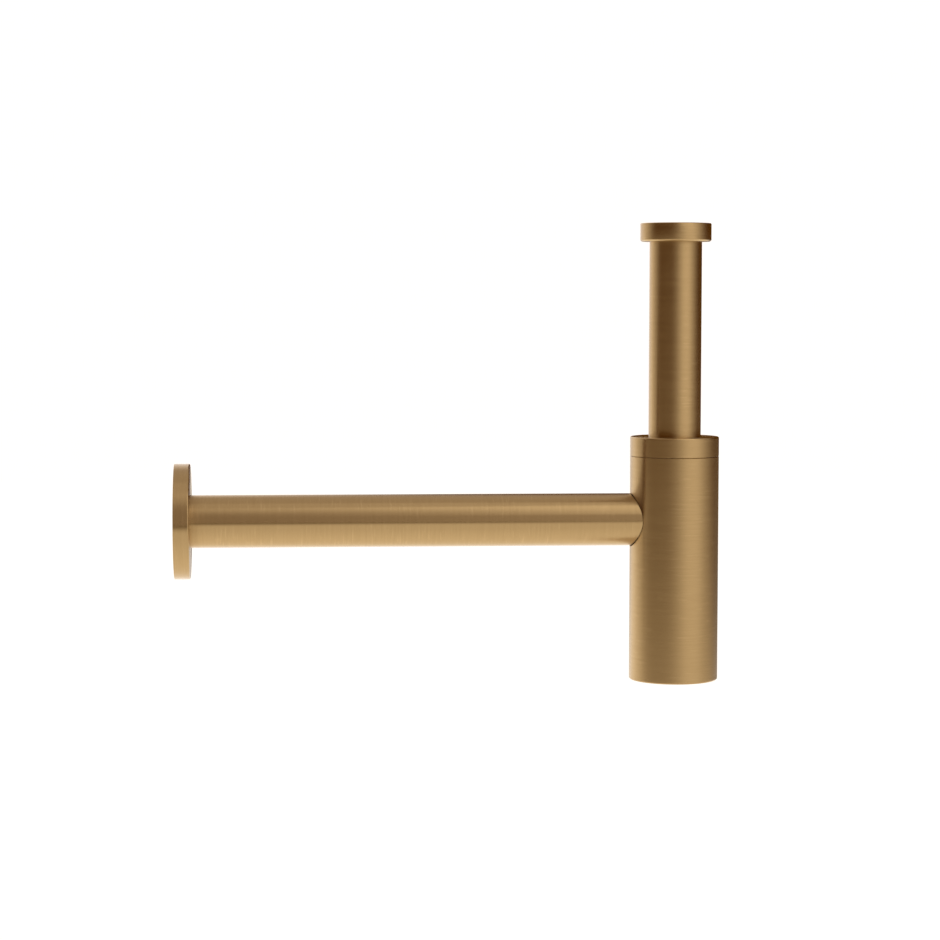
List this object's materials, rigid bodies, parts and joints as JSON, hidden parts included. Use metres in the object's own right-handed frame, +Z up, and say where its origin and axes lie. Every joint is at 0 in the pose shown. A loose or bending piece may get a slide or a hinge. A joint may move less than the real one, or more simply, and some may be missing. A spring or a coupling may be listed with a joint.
{
  "type": "bottle trap",
  "caption": "Washbasin bottle trap in brushed bronze: round union nut, riser, flush cap, plain bottle and a straight outlet pipe with a round wall flange.",
  "frame": {"origin": "on the inlet axis, on the inlet washer's top face, where the basin waste comes to rest", "axes": "+Z up along the riser, -X along the outlet pipe towards the wall"},
  "size_m": [0.3323, 0.07, 0.2796],
  "materials": {
    "brushed_bronze": "satin, brushed round the turned pieces, bronze-gold coat",
    "bare_brass": "plain turned brass",
    "black_rubber": "matt moulded rubber",
    "white_nylon": "matt nylon"
  },
  "bodies": {
    "bottle": {"bottle": "brushed_bronze", "outlet_socket": "bare_brass"},
    "cone_seal": {"cone_seal": "black_rubber"},
    "inlet_tube": {"inlet_tube": "brushed_bronze", "inlet_washer": "black_rubber"},
    "nut_ring": {"nut_ring": "white_nylon"},
    "inlet_nut": {"inlet_nut": "brushed_bronze"},
    "cap_ring": {"cap_ring": "white_nylon"},
    "cap_nut": {"cap_nut": "brushed_bronze"},
    "outlet_washer": {"outlet_washer": "black_rubber"},
    "outlet_pipe": {"outlet_pipe": "brushed_bronze"},
    "flange_o_ring": {"flange_o_ring": "black_rubber"},
    "wall_flange": {"wall_flange": "brushed_bronze"},
    "plug_washer": {"plug_washer": "black_rubber"},
    "base_plug": {"base_plug": "brushed_bronze"}
  },
  "joints": [
    {"name": "tube_swivel", "type": "hinge", "parent": "bottle", "child": "cone_seal", "pos_m": [0, 0, -0.13], "axis": [0, 0, 1], "continuous": true},
    {"name": "tube_height", "type": "slide", "parent": "cone_seal", "child": "inlet_tube", "axis": [0, 0, 1], "range_m": [-0.01, 0.01]},
    {"name": "nut_drop", "type": "slide", "parent": "inlet_tube", "child": "nut_ring", "axis": [0, 0, 1], "range_m": [-0.1, 0]},
    {"name": "nut_turn", "type": "hinge", "parent": "nut_ring", "child": "inlet_nut", "pos_m": [0, 0, 0], "axis": [0, 0, 1], "continuous": true},
    {"name": "cap_turn", "type": "hinge", "parent": "cap_ring", "child": "cap_nut", "pos_m": [0, 0, -0.13], "axis": [0, 0, 1], "range_deg": [0, 1800]},
    {"name": "cap_rise", "type": "slide", "parent": "bottle", "child": "cap_ring", "axis": [0, 0, 1], "range_m": [0, 0.0075]},
    {"name": "outlet_turn", "type": "hinge", "parent": "outlet_washer", "child": "outlet_pipe", "pos_m": [-0.0204, 0, -0.17605], "axis": [-1, 0, 0], "range_deg": [0, 2160]},
    {"name": "outlet_travel", "type": "slide", "parent": "bottle", "child": "outlet_washer", "axis": [-1, 0, 0], "range_m": [0, 0.009]},
    {"name": "flange_slide", "type": "slide", "parent": "outlet_pipe", "child": "flange_o_ring", "axis": [1, 0, 0], "range_m": [0, 0.258]},
    {"name": "flange_turn", "type": "hinge", "parent": "flange_o_ring", "child": "wall_flange", "pos_m": [-0.3, 0, -0.17605], "axis": [1, 0, 0], "continuous": true},
    {"name": "plug_turn", "type": "hinge", "parent": "plug_washer", "child": "base_plug", "pos_m": [0, 0, -0.2745], "axis": [0, 0, -1], "range_deg": [0, 1440]},
    {"name": "plug_travel", "type": "slide", "parent": "bottle", "child": "plug_washer", "axis": [0, 0, -1], "range_m": [0, 0.006]}
  ],
  "couplings": [
    {"joint": "cap_turn", "follows": "cap_rise", "rad_per_m": 4188.8},
    {"joint": "outlet_turn", "follows": "outlet_travel", "rad_per_m": 4188.8},
    {"joint": "plug_turn", "follows": "plug_travel", "rad_per_m": 4188.8}
  ]
}
